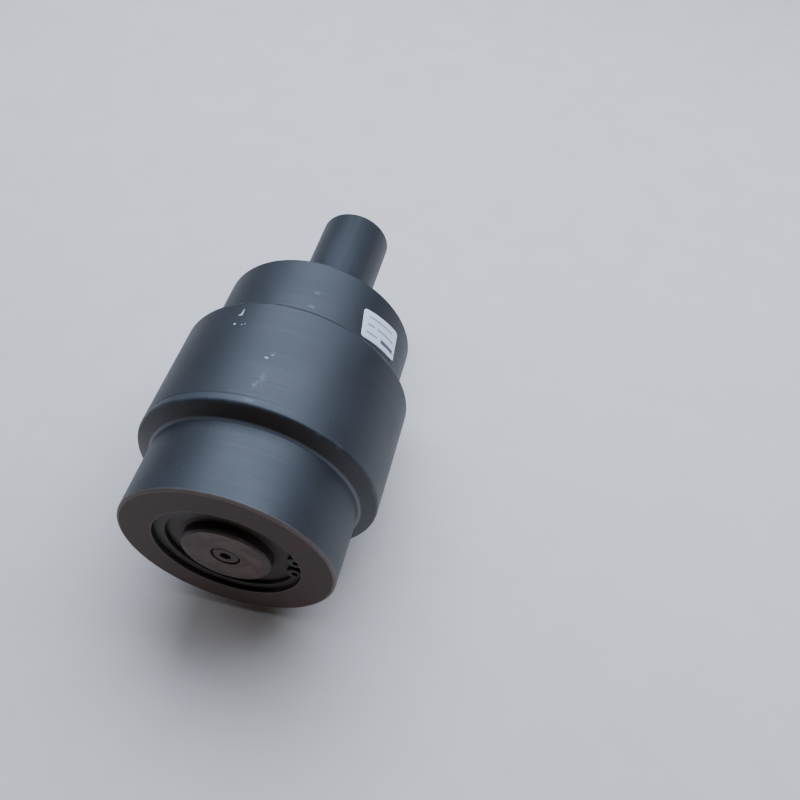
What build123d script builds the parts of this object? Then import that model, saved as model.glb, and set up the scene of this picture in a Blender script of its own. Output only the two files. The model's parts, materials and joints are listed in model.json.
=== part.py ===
from build123d import *
import math
import os

# Cantilever carrier roller of a crawler track, in millimetres.
# +Y is the axle: the bare stub points to +Y, the covered end faces -Y, and +Z is up.
# The origin is on the axle, in the plane where the stub leaves the seal collar.

# Driving dimensions
FLANGE_R = 70.0
TREAD_R = 60.0
SHELL_LENGTH = 166.0
FLANGE_WIDTH = 70.0
STEP_LENGTH = 5.0
COLLAR_R = 52.0
COLLAR_REAR_R = 46.0
COLLAR_PROUD = 13.0
STUB_R = 23.5
STUB_LENGTH = 79.0
JOURNAL_R = 27.5
RECESS_R = 41.0
BOSS_R = 25.0
BOSS_CHAMFER = 1.2

# Clearances: running fit in the bushings, end play, and gaps where nothing should rub
RUNNING_GAP = 0.05
END_PLAY = 0.3
FREE_GAP = 0.6
CHAMFER = 1.0
FLANGE_ROUND = 2.5
TOLERANCE = 0.01

# Stations along the axle
SHELL_FRONT = -(SHELL_LENGTH + COLLAR_PROUD)
SHELL_REAR = -COLLAR_PROUD
FLANGE_FRONT = SHELL_FRONT + (SHELL_LENGTH - FLANGE_WIDTH) / 2
FLANGE_REAR = FLANGE_FRONT + FLANGE_WIDTH
COVER_FRONT = SHELL_FRONT + 5.5
COVER_THICKNESS = 8.5
COVER_REAR = COVER_FRONT + COVER_THICKNESS
BOSS_FRONT = SHELL_FRONT - 1.0
PLATE_FRONT = SHELL_FRONT + 24.0
PLATE_THICKNESS = 8.0
SHAFT_FRONT = PLATE_FRONT + PLATE_THICKNESS
BUSH_FLANGE = 4.0
FRONT_SEAT = SHAFT_FRONT + END_PLAY + BUSH_FLANGE
REAR_SEAT = SHELL_FRONT + 140.0
SHOULDER_FRONT = REAR_SEAT + BUSH_FLANGE + END_PLAY
SHOULDER_REAR = SHOULDER_FRONT + 6.7
SEAL_PLANE = SHELL_FRONT + 155.5
SEAL_GAP = 1.5
COUNTERBORE_FLOOR = SEAL_PLANE - SEAL_GAP
COLLAR_FRONT = SEAL_PLANE + SEAL_GAP

# Shell bores
PLATE_BORE_R = 39.5
BUSH_R = 32.5
BUSH_FLANGE_R = 37.5
BUSH_SHORT = 2.0
RESERVOIR_R = 40.0
RESERVOIR_FRONT = SHELL_FRONT + 74.0
RESERVOIR_REAR = SHELL_FRONT + 106.0
RESERVOIR_TAPER = 6.0
REAR_FLANGE_BORE_R = 38.5
COLLAR_BORE_R = COLLAR_R + FREE_GAP

# Face seal: a metal ring pushed to the seal plane by a rubber ring squeezed between two ramps
TORIC_R = 3.0
TORIC_CENTRE_R = 43.6
TORIC_OFFSET = 5.9
RAMP_ANGLE = math.radians(15.0)
SEAL_BORE_R = 37.5
SEAL_LIP_R = 45.5
SEAL_LIP = 2.7
SEAL_FILM = 0.05
SEAT_DEPTH = 10.0
SHELL_SEAT_FLOOR = SEAL_PLANE - SEAT_DEPTH
COLLAR_SEAT_FLOOR = SEAL_PLANE + SEAT_DEPTH
RING_TAIL = 8.4

# Retaining ring for an 82 mm bore, with its groove
RING_THICKNESS = 2.5
RING_GROOVE = 2.65
RING_GROOVE_R = 42.75
RING_R = 42.7
RING_INNER_R = 35.9
RING_OFFSET = 1.3
RING_GAP_ANGLE = -8.0
RING_LUG_SPREAD = 10.0
RING_LUG_R = 4.6
RING_LUG_HOLE_R = 1.75
RING_LUG_CENTRE_R = 37.4
RING_FRONT = COVER_FRONT - RING_THICKNESS

# Rubber O-rings, drawn at their squeezed size
COVER_O_RING_R = 1.3
COVER_O_RING_Y = COVER_FRONT + 4.5
COLLAR_O_RING_R = 1.1
COLLAR_O_RING_Y = SEAL_PLANE + 2.5
COLLAR_SEAT_R = 25.0
RUBBER_SLACK = 0.02

# Oil filler plug in the middle of the cover
PLUG_POCKET_R = 8.2
PLUG_POCKET = 5.0
PLUG_HEAD_R = 7.3
PLUG_THREAD_R = 6.0
PLUG_LENGTH = 14.0
PLUG_SUNK = 0.3
GASKET = 1.0
HEX_KEY = 6.0
HEX_DEPTH = 5.0
HEX_TURN = 30.0

# Thrust plate bolts
BOLT_CIRCLE_R = 17.0
BOLT_COUNT = 3
BOLT_R = 5.0
BOLT_HOLE_R = 5.5
BOLT_LENGTH = 28.0
BOLT_HEAD = 6.4
BOLT_HEX = 16.0
WASHER_R = 8.2
WASHER = 1.8
WASHER_SLIT = 2.0
FIRST_BOLT_ANGLE = 90.0

# Shaft, collar and thrust plate details
SHOULDER_R = 36.0
STUB_CHAMFER = 1.5
COLLAR_HUB_R = 34.0
PLATE_R = 36.5
CENTRE_PILOT_R = 2.0
CENTRE_DEPTH = 12.0

# Oil passages and the collar's pin
GALLERY_R = 4.0
GALLERY_LENGTH = 60.0
CROSS_HOLE_R = 3.0
PLATE_HOLE_R = 6.0
PIN_R = 3.0
PIN_Y = -6.75
PIN_INNER = 16.0
PIN_OUTER = 47.0
CENTRE_DRILL_R = 5.0

# Label on the rear tread
LABEL_WIDTH = 31.0
LABEL_HEIGHT = 20.0
LABEL_CORNER = 2.5
LABEL_THICKNESS = 0.25
LABEL_ANGLE = 35.0
LABEL_TILT = 11.0
LABEL_Y = SHELL_FRONT + 141.0

os.makedirs("parts", exist_ok=True)


def save(node, name):
    """Labels a finished piece and writes it as its own STEP file."""
    node.part.label = name
    export_step(node.part, f"parts/{name}.step")


def facing_front(y):
    """The plane across the axle at station y, with its normal towards the covered end."""
    return Plane.XZ.offset(-y)


def ramp_at(side, y, away):
    """The point at station y of a seal ramp, as (y, radius).

    side is -1 on the roller's side of the seal plane and +1 on the collar's. The ramp passes at
    distance away from the rubber ring's centre, outside it or, if negative, inside it, and it
    widens towards the seal plane.
    """
    depth = side * (y - SEAL_PLANE)
    at_centre = TORIC_CENTRE_R + away / math.cos(RAMP_ANGLE)
    return (y, at_centre + (TORIC_OFFSET - depth) * math.tan(RAMP_ANGLE))


# Roller shell: two treads, the centre flange between them, and all its bores
with BuildPart() as shell:
    with BuildSketch(Plane.YZ):
        with BuildLine():
            Polyline(
                (SHELL_FRONT, RECESS_R),
                (SHELL_FRONT, TREAD_R - CHAMFER),
                (SHELL_FRONT + CHAMFER, TREAD_R),
                (FLANGE_FRONT - STEP_LENGTH, TREAD_R),
                (FLANGE_FRONT, FLANGE_R),
                (FLANGE_REAR, FLANGE_R),
                (FLANGE_REAR + STEP_LENGTH, TREAD_R),
                (SHELL_REAR - CHAMFER, TREAD_R),
                (SHELL_REAR, TREAD_R - CHAMFER),
                (SHELL_REAR, COLLAR_BORE_R),
                (COUNTERBORE_FLOOR, COLLAR_BORE_R),
                ramp_at(-1, COUNTERBORE_FLOOR, TORIC_R),
                ramp_at(-1, SHELL_SEAT_FLOOR, TORIC_R),
                (SHELL_SEAT_FLOOR, REAR_FLANGE_BORE_R),
                (REAR_SEAT, REAR_FLANGE_BORE_R),
                (REAR_SEAT, BUSH_R),
                (RESERVOIR_REAR, BUSH_R),
                (RESERVOIR_REAR - RESERVOIR_TAPER, RESERVOIR_R),
                (RESERVOIR_FRONT + RESERVOIR_TAPER, RESERVOIR_R),
                (RESERVOIR_FRONT, BUSH_R),
                (FRONT_SEAT, BUSH_R),
                (FRONT_SEAT, PLATE_BORE_R),
                (COVER_REAR, PLATE_BORE_R),
                (COVER_REAR, RECESS_R),
                close=True,
            )
        make_face()
    revolve(axis=Axis.Y)
    # Groove of the retaining ring
    with BuildSketch(facing_front(RING_FRONT + RING_GROOVE)):
        Circle(RING_GROOVE_R)
    extrude(amount=RING_GROOVE, mode=Mode.SUBTRACT)
    # Rolled edges of the flange
    flange_edges = shell.edges().filter_by(GeomType.CIRCLE)
    flange_edges = flange_edges.filter_by(lambda edge: abs(edge.radius - FLANGE_R) < TOLERANCE)
    fillet(flange_edges, radius=FLANGE_ROUND)
save(shell, "shell")

# Bronze bushings, each with a thrust flange on its outer end
bush_bore_r = JOURNAL_R + RUNNING_GAP
with BuildPart() as front_bushing:
    with BuildSketch(Plane.YZ):
        with BuildLine():
            Polyline(
                (FRONT_SEAT - BUSH_FLANGE, bush_bore_r),
                (FRONT_SEAT - BUSH_FLANGE, BUSH_FLANGE_R),
                (FRONT_SEAT, BUSH_FLANGE_R),
                (FRONT_SEAT, BUSH_R),
                (RESERVOIR_FRONT - BUSH_SHORT, BUSH_R),
                (RESERVOIR_FRONT - BUSH_SHORT, bush_bore_r),
                close=True,
            )
        make_face()
    revolve(axis=Axis.Y)
save(front_bushing, "front_bushing")

with BuildPart() as rear_bushing:
    with BuildSketch(Plane.YZ):
        with BuildLine():
            Polyline(
                (REAR_SEAT + BUSH_FLANGE, bush_bore_r),
                (REAR_SEAT + BUSH_FLANGE, BUSH_FLANGE_R),
                (REAR_SEAT, BUSH_FLANGE_R),
                (REAR_SEAT, BUSH_R),
                (RESERVOIR_REAR + BUSH_SHORT, BUSH_R),
                (RESERVOIR_REAR + BUSH_SHORT, bush_bore_r),
                close=True,
            )
        make_face()
    revolve(axis=Axis.Y)
save(rear_bushing, "rear_bushing")

# Shaft: journal, thrust shoulder, collar seat and the bare stub that the bracket grips
with BuildPart() as shaft:
    with BuildSketch(Plane.YZ):
        with BuildLine():
            Polyline(
                (SHAFT_FRONT, 0),
                (SHAFT_FRONT, JOURNAL_R - CHAMFER),
                (SHAFT_FRONT + CHAMFER, JOURNAL_R),
                (RESERVOIR_FRONT, JOURNAL_R),
                (RESERVOIR_FRONT + CHAMFER, JOURNAL_R - CHAMFER),
                (RESERVOIR_REAR - CHAMFER, JOURNAL_R - CHAMFER),
                (RESERVOIR_REAR, JOURNAL_R),
                (SHOULDER_FRONT, JOURNAL_R),
                (SHOULDER_FRONT, SHOULDER_R),
                (SHOULDER_REAR, SHOULDER_R),
                (SHOULDER_REAR, COLLAR_SEAT_R),
                (0, COLLAR_SEAT_R),
                (0, STUB_R),
                (STUB_LENGTH - STUB_CHAMFER, STUB_R),
                (STUB_LENGTH, STUB_R - STUB_CHAMFER),
                (STUB_LENGTH, 0),
                close=True,
            )
        make_face()
        # Groove of the collar's O-ring
        with Locations((COLLAR_O_RING_Y, COLLAR_SEAT_R)):
            Rectangle(3 * COLLAR_O_RING_R, 4 * COLLAR_O_RING_R, mode=Mode.SUBTRACT)
    revolve(axis=Axis.Y)
    # Oil gallery along the axle, and the hole across it into the reservoir
    with BuildSketch(facing_front(SHAFT_FRONT + GALLERY_LENGTH)):
        Circle(GALLERY_R)
    extrude(amount=GALLERY_LENGTH, mode=Mode.SUBTRACT)
    with BuildSketch(Plane.XY):
        with Locations((0, SHAFT_FRONT + GALLERY_LENGTH - GALLERY_R)):
            Circle(CROSS_HOLE_R)
    extrude(amount=JOURNAL_R, both=True, mode=Mode.SUBTRACT)
    # Blind holes for the thrust plate's bolts
    with BuildSketch(facing_front(PLATE_FRONT + BOLT_LENGTH)):
        with PolarLocations(BOLT_CIRCLE_R, BOLT_COUNT, start_angle=FIRST_BOLT_ANGLE):
            Circle(BOLT_R)
    extrude(amount=BOLT_LENGTH - PLATE_THICKNESS, mode=Mode.SUBTRACT)
    # Cross hole for the collar's pin
    with BuildSketch(Plane.XY.offset(-PIN_INNER)):
        with Locations((0, PIN_Y)):
            Circle(PIN_R)
    extrude(amount=-(PIN_OUTER - PIN_INNER), mode=Mode.SUBTRACT)
    # Lathe centre in the stub's end
    with Locations(Plane.XZ.offset(-STUB_LENGTH).rotated((180, 0, 0))):
        CounterSinkHole(CENTRE_PILOT_R, CENTRE_DRILL_R, depth=CENTRE_DEPTH, counter_sink_angle=60)
save(shaft, "shaft")

# Seal collar: a cup pinned on the shaft, which covers the seal and turns its rim into the shell
with BuildPart() as seal_collar:
    with BuildSketch(Plane.YZ):
        with BuildLine():
            Polyline(
                (COLLAR_FRONT, COLLAR_R),
                (SHELL_REAR, COLLAR_R),
                (0, COLLAR_REAR_R),
                (0, COLLAR_SEAT_R),
                (SHOULDER_REAR, COLLAR_SEAT_R),
                (SHOULDER_REAR, COLLAR_HUB_R),
                (COLLAR_SEAT_FLOOR, COLLAR_HUB_R),
                ramp_at(1, COLLAR_SEAT_FLOOR, TORIC_R),
                ramp_at(1, COLLAR_FRONT, TORIC_R),
                close=True,
            )
        make_face()
    revolve(axis=Axis.Y)
    with BuildSketch(Plane.XY.offset(-COLLAR_SEAT_R / 2)):
        with Locations((0, PIN_Y)):
            Circle(PIN_R)
    extrude(amount=-COLLAR_R, mode=Mode.SUBTRACT)
save(seal_collar, "seal_collar")

with BuildPart() as collar_pin:
    with BuildSketch(Plane.XY.offset(-PIN_INNER)):
        with Locations((0, PIN_Y)):
            Circle(PIN_R)
    extrude(amount=-(PIN_OUTER - PIN_INNER))
    chamfer(collar_pin.edges().filter_by(GeomType.CIRCLE), length=CHAMFER / 2)
save(collar_pin, "collar_pin")


def seal_ring(side):
    """A face seal's metal ring: a lapped lip at the seal plane and a tapered tail behind it."""
    lip_back = SEAL_PLANE + side * SEAL_LIP
    with BuildPart() as ring:
        with BuildSketch(Plane.YZ):
            with BuildLine():
                Polyline(
                    (SEAL_PLANE + side * SEAL_FILM, SEAL_BORE_R),
                    (SEAL_PLANE + side * SEAL_FILM, SEAL_LIP_R),
                    (lip_back, SEAL_LIP_R),
                    ramp_at(side, lip_back, -TORIC_R),
                    ramp_at(side, SEAL_PLANE + side * RING_TAIL, -TORIC_R),
                    (SEAL_PLANE + side * RING_TAIL, SEAL_BORE_R),
                    close=True,
                )
            make_face()
        revolve(axis=Axis.Y)
    return ring


def rubber_ring(y, centre_r, section_r):
    """A rubber ring round the axle at station y, which just touches the walls that squeeze it."""
    with BuildPart() as ring:
        with BuildSketch(Plane.YZ):
            with Locations((y, centre_r)):
                Circle(section_r - RUBBER_SLACK)
        revolve(axis=Axis.Y)
    return ring


save(seal_ring(-1), "turning_seal_ring")
save(seal_ring(1), "fixed_seal_ring")
save(rubber_ring(SEAL_PLANE - TORIC_OFFSET, TORIC_CENTRE_R, TORIC_R), "turning_toric_ring")
save(rubber_ring(SEAL_PLANE + TORIC_OFFSET, TORIC_CENTRE_R, TORIC_R), "fixed_toric_ring")
save(rubber_ring(COVER_O_RING_Y, RECESS_R - COVER_O_RING_R, COVER_O_RING_R), "cover_o_ring")
save(rubber_ring(COLLAR_O_RING_Y, COLLAR_SEAT_R - COLLAR_O_RING_R, COLLAR_O_RING_R), "collar_o_ring")

# Thrust plate: bolted on the shaft's inner end, it keeps the roller on
with BuildPart() as thrust_plate:
    with BuildSketch(facing_front(SHAFT_FRONT)):
        Circle(PLATE_R)
        Circle(PLATE_HOLE_R, mode=Mode.SUBTRACT)
        with PolarLocations(BOLT_CIRCLE_R, BOLT_COUNT, start_angle=FIRST_BOLT_ANGLE):
            Circle(BOLT_HOLE_R, mode=Mode.SUBTRACT)
    extrude(amount=PLATE_THICKNESS)
    rim = thrust_plate.edges().filter_by(GeomType.CIRCLE).sort_by(SortBy.RADIUS)[-2:]
    chamfer(rim, length=CHAMFER)
save(thrust_plate, "thrust_plate")

with BuildPart() as lock_washers:
    with BuildSketch(facing_front(PLATE_FRONT)):
        with PolarLocations(BOLT_CIRCLE_R, BOLT_COUNT, start_angle=FIRST_BOLT_ANGLE):
            Circle(WASHER_R)
            Circle(BOLT_R, mode=Mode.SUBTRACT)
        with PolarLocations(BOLT_CIRCLE_R + WASHER_R, BOLT_COUNT, start_angle=FIRST_BOLT_ANGLE):
            Rectangle(2 * (WASHER_R - BOLT_R) + WASHER_SLIT, WASHER_SLIT, mode=Mode.SUBTRACT)
    extrude(amount=WASHER)
save(lock_washers, "lock_washers")

head_seat = PLATE_FRONT - WASHER
with BuildPart() as thrust_bolts:
    with BuildSketch(facing_front(head_seat)):
        with PolarLocations(BOLT_CIRCLE_R, BOLT_COUNT, start_angle=FIRST_BOLT_ANGLE):
            RegularPolygon(BOLT_HEX / 2, 6, major_radius=False)
    extrude(amount=BOLT_HEAD)
    with BuildSketch(facing_front(head_seat)):
        with PolarLocations(BOLT_CIRCLE_R, BOLT_COUNT, start_angle=FIRST_BOLT_ANGLE):
            Circle(BOLT_R)
    extrude(amount=-(BOLT_LENGTH + WASHER))
save(thrust_bolts, "thrust_bolts")

# End cover: a plate with a raised boss, sunk in the shell's front and sealed on its rim
cover_r = RECESS_R - RUNNING_GAP
with BuildPart() as end_cover:
    with BuildSketch(Plane.YZ):
        with BuildLine():
            Polyline(
                (BOSS_FRONT, 0),
                (BOSS_FRONT, BOSS_R - BOSS_CHAMFER),
                (BOSS_FRONT + BOSS_CHAMFER, BOSS_R),
                (COVER_FRONT, BOSS_R),
                (COVER_FRONT, cover_r),
                (COVER_REAR, cover_r),
                (COVER_REAR, 0),
                close=True,
            )
        make_face()
        # Groove of the cover's O-ring
        with Locations((COVER_O_RING_Y, RECESS_R)):
            Rectangle(3 * COVER_O_RING_R, 4 * COVER_O_RING_R, mode=Mode.SUBTRACT)
    revolve(axis=Axis.Y)
    with BuildSketch(facing_front(BOSS_FRONT + PLUG_POCKET)):
        Circle(PLUG_POCKET_R)
    extrude(amount=PLUG_POCKET, mode=Mode.SUBTRACT)
    with BuildSketch(facing_front(COVER_REAR)):
        Circle(PLUG_THREAD_R)
    extrude(amount=COVER_REAR - BOSS_FRONT, mode=Mode.SUBTRACT)
save(end_cover, "end_cover")

# Retaining ring: widest opposite its gap, with an eyed lug at each end for the pliers
gap = math.radians(RING_GAP_ANGLE)
gap_reach = 2 * RING_R
with BuildPart() as retaining_ring:
    with BuildSketch(facing_front(RING_FRONT + RING_THICKNESS)):
        Circle(RING_R)
        with Locations((RING_OFFSET * math.cos(gap), RING_OFFSET * math.sin(gap))):
            Circle(RING_INNER_R, mode=Mode.SUBTRACT)
        with BuildLine(mode=Mode.PRIVATE) as gap_wedge:
            Polyline(
                (0, 0),
                Vector(gap_reach, 0).rotate(Axis.Z, RING_GAP_ANGLE - RING_LUG_SPREAD),
                Vector(gap_reach, 0).rotate(Axis.Z, RING_GAP_ANGLE + RING_LUG_SPREAD),
                close=True,
            )
        make_face(gap_wedge.edges(), mode=Mode.SUBTRACT)
        lug_span = {"start_angle": RING_GAP_ANGLE - RING_LUG_SPREAD, "angular_range": 4 * RING_LUG_SPREAD}
        with PolarLocations(RING_LUG_CENTRE_R, 2, **lug_span):
            Circle(RING_LUG_R)
            Circle(RING_LUG_HOLE_R, mode=Mode.SUBTRACT)
    extrude(amount=RING_THICKNESS)
save(retaining_ring, "retaining_ring")

# Oil plug: a flanged screw plug with a hexagon socket, sunk in the boss on its gasket
head_back = BOSS_FRONT + PLUG_POCKET - GASKET
plug_front = BOSS_FRONT + PLUG_SUNK
with BuildPart() as oil_plug:
    with BuildSketch(facing_front(head_back)):
        Circle(PLUG_HEAD_R)
    extrude(amount=head_back - plug_front)
    chamfer(oil_plug.edges().group_by(Axis.Y)[0], length=PLUG_SUNK * 2)
    with BuildSketch(facing_front(plug_front + PLUG_LENGTH)):
        Circle(PLUG_THREAD_R)
    extrude(amount=PLUG_LENGTH - CHAMFER)
    with BuildSketch(facing_front(plug_front + HEX_DEPTH)):
        RegularPolygon(HEX_KEY / 2, 6, major_radius=False, rotation=HEX_TURN)
    extrude(amount=HEX_DEPTH, mode=Mode.SUBTRACT)
save(oil_plug, "oil_plug")

with BuildPart() as plug_gasket:
    with BuildSketch(facing_front(head_back + GASKET)):
        Circle(PLUG_HEAD_R)
        Circle(PLUG_THREAD_R, mode=Mode.SUBTRACT)
    extrude(amount=GASKET)
save(plug_gasket, "plug_gasket")

# Blank label: a thin rounded patch wrapped on the rear tread
outward = Vector(math.cos(math.radians(LABEL_ANGLE)), 0, math.sin(math.radians(LABEL_ANGLE)))
label_plane = Plane(origin=Vector(0, LABEL_Y, 0), x_dir=(0, 1, 0), z_dir=outward)
with BuildPart() as label:
    with BuildSketch(facing_front(LABEL_Y + LABEL_WIDTH)):
        Circle(TREAD_R + LABEL_THICKNESS)
        Circle(TREAD_R, mode=Mode.SUBTRACT)
    extrude(amount=2 * LABEL_WIDTH)
    with BuildSketch(label_plane):
        RectangleRounded(LABEL_HEIGHT, LABEL_WIDTH, LABEL_CORNER, rotation=LABEL_TILT)
    extrude(amount=2 * TREAD_R, mode=Mode.INTERSECT)
save(label, "label")
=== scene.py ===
# %% [markdown]
# # A carrier roller for an excavator track
# A carrier roller holds up the top run of a crawler track. Its painted shell turns on a fixed
# shaft, whose bare stub is clamped in a bracket on the track frame. The CAD parts give the main
# sizes: this script measures them, rebuilds the surfaces that show with softened edges and
# finishes, and sets a plain studio round them. How round the edges are, the label's own sheet
# and the marks on the paint are not in the CAD, and are given here.

# %% Load the CAD frame
import json
import math

import bmesh
import bpy
from mathutils import Matrix, Vector


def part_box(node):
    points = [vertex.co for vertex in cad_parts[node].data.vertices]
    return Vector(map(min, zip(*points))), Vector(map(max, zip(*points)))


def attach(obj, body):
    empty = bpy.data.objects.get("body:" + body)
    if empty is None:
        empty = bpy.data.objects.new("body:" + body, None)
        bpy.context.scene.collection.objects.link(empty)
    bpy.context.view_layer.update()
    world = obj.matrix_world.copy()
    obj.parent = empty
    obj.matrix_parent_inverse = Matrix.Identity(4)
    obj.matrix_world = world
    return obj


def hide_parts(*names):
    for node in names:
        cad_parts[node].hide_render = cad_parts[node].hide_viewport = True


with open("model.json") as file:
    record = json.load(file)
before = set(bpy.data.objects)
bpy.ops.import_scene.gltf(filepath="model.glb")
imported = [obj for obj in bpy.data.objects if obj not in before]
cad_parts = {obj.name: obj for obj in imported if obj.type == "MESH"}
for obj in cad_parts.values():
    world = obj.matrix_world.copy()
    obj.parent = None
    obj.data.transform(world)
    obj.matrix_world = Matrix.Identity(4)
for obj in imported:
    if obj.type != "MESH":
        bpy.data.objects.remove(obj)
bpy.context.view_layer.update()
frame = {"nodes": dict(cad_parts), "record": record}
MM = 0.001
mounts = {mount["name"]: mount for mount in frame["record"]["mounts"]}
stub_radius = mounts["shaft_stub"]["dims"]["r_mm"] * MM
tread_radius = mounts["front_tread"]["dims"]["r_mm"] * MM
flange_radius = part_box("shell")[1].x
front_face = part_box("shell")[0].y
print("CAD nodes", len(frame["nodes"]), "flange radius", round(flange_radius, 4))

# %% [markdown]
# ## Reading a turned part's outline
# Nearly every piece of a roller is turned on a lathe, so one half section says all of its
# shape. It could be typed in again as a list of points, but the CAD mesh already holds it: a
# cut through the axle leaves a loop of edges, and walking that loop gives the outline as
# (station along the axle, radius) pairs. Points in line with their neighbours are dropped.

# %% Cut a CAD node through the axle and walk the outline
SNAP = 1e-6
STRAIGHT = math.radians(1.0)


def turn_at(before, point, after):
    """The signed turn of an outline at a point, in radians."""
    into = Vector(point) - Vector(before)
    out = Vector(after) - Vector(point)
    return math.atan2(into.x * out.y - into.y * out.x, into.dot(out))


def outline_of(node):
    """The half section of a turned CAD node, as a closed loop of (station, radius) points."""
    cut = bmesh.new()
    cut.from_mesh(frame["nodes"][node].data)
    bmesh.ops.remove_doubles(cut, verts=cut.verts, dist=SNAP)
    everything = cut.verts[:] + cut.edges[:] + cut.faces[:]
    found = bmesh.ops.bisect_plane(
        cut, geom=everything, dist=SNAP, plane_co=(0, 0, 0), plane_no=(1, 0, 0)
    )["geom_cut"]
    beside = {}
    for edge in found:
        if isinstance(edge, bmesh.types.BMEdge) and all(v.co.z > -SNAP for v in edge.verts):
            for here, there in (edge.verts, reversed(edge.verts)):
                beside.setdefault(here, []).append(there)
    walk = [next(iter(beside))]
    while onward := [vert for vert in beside[walk[-1]] if vert not in walk]:
        walk.append(onward[0])
    loop = [(vert.co.y, vert.co.z) for vert in walk]
    cut.free()
    corners = zip(loop[-1:] + loop[:-1], loop, loop[1:] + loop[:1])
    return [corner[1] for corner in corners if abs(turn_at(*corner)) > STRAIGHT]


shell_outline = outline_of("shell")
cover_outline = outline_of("end_cover")
print("outline corners: shell", len(shell_outline), "cover", len(cover_outline))

# %% [markdown]
# ## Softening the corners
# A lathe tool, a file and then paint leave no corner truly sharp, and the thin bright line that
# a rounded corner throws is what makes steel look like steel. Each corner of the outline is
# replaced by an arc here, before it is turned round the axle. A Bevel modifier could do it
# afterwards, but on the outline it is simple and each corner can have its own radius. Next to
# each arc a support point keeps the smooth shading from spreading over the flat face.

# %% Round an outline
ARC_STEPS = 5
# An arc takes at most this share of the shorter line beside its corner.
LONGEST_REACH = 0.4
SUPPORT = 0.35 * MM
GENTLE = math.radians(25)


def arc_at(before, corner, after, radius):
    """The points of an arc that rounds a corner, cut short where its neighbours are close."""
    back, ahead = before - corner, after - corner
    turn = turn_at(before, corner, after)
    half = abs(turn) / 2
    reach = min(radius * math.tan(half), LONGEST_REACH * min(back.length, ahead.length))
    inward = (back.normalized() + ahead.normalized()).normalized()
    centre = corner + inward * (reach / math.sin(half))
    arm = corner + back.normalized() * reach - centre
    turns = [turn * step / ARC_STEPS for step in range(ARC_STEPS + 1)]
    return [centre + Matrix.Rotation(angle, 2) @ arm for angle in turns]


def rounded(outline, radius_at):
    """The closed outline with an arc at each corner, as (station, radius, edge) points.

    radius_at(corner, turn) says how round a corner is. edge is 1 on an outward arc and 0
    elsewhere, and it later tells the paint where it wears. The turns of a whole loop add up to
    one full turn, and a corner that turns the same way stands outwards. A gentle corner is part
    of an arc already.
    """
    arcs, turns = [], []
    for i, corner in enumerate(outline):
        here = [Vector(outline[i - 1]), Vector(corner), Vector(outline[(i + 1) % len(outline)])]
        turns.append(turn_at(*here))
        gentle = abs(turns[-1]) < GENTLE
        arcs.append(here[1:2] if gentle else arc_at(*here, radius_at(corner, turns[-1])))
    way_round = sum(turns)
    points = []
    for i, arc in enumerate(arcs):
        points += [(*point, float(turns[i] * way_round > 0)) for point in arc]
        gap = arcs[(i + 1) % len(arcs)][0] - arc[-1]
        if gap.length > 3 * SUPPORT:  # long enough for a support point at each end
            step = gap.normalized() * SUPPORT
            points += [(*(arc[-1] + step), 0.0), (*(arc[-1] + gap - step), 0.0)]
    return points


print("each arc has", ARC_STEPS, "steps")

# %% [markdown]
# ## Turning the outline with Geometry Nodes
# This is the lathe. The tree lays a grid whose rows are the outline's points and whose columns
# are steps round the axle, then moves each grid point to its row's station and radius. Spin in
# mesh code would give the same shape, but here the number of steps stays an input, and the
# tree hands the edge value on to the paint. The last row repeats the first point, and the last
# column the first column, so a merge closes both seams.

# %% A helper that adds a node
def add(tree, kind, inputs=None, **settings):
    """Adds a node, applies its settings, and links or sets its inputs by name or number."""
    node = tree.nodes.new(kind)
    for key, value in settings.items():
        setattr(node, key, value)
    for key, value in (inputs or {}).items():
        if isinstance(value, bpy.types.Node):
            value = value.outputs[0]
        if isinstance(value, bpy.types.NodeSocket):
            tree.links.new(value, node.inputs[key])
        else:
            node.inputs[key].default_value = value
    return node


# %% The lathe tree
# Kinds of node that come back often.
MATH = "ShaderNodeMath"
VECTOR_MATH = "ShaderNodeVectorMath"


def geometry_tree(name, inputs):
    """A Geometry Nodes tree with a geometry input and output, and the named inputs."""
    tree = bpy.data.node_groups.new(name, "GeometryNodeTree")
    tree.interface.new_socket("Geometry", in_out="INPUT", socket_type="NodeSocketGeometry")
    tree.interface.new_socket("Geometry", in_out="OUTPUT", socket_type="NodeSocketGeometry")
    for label, kind in inputs.items():
        tree.interface.new_socket(label, in_out="INPUT", socket_type=f"NodeSocket{kind}")
    return tree


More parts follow.
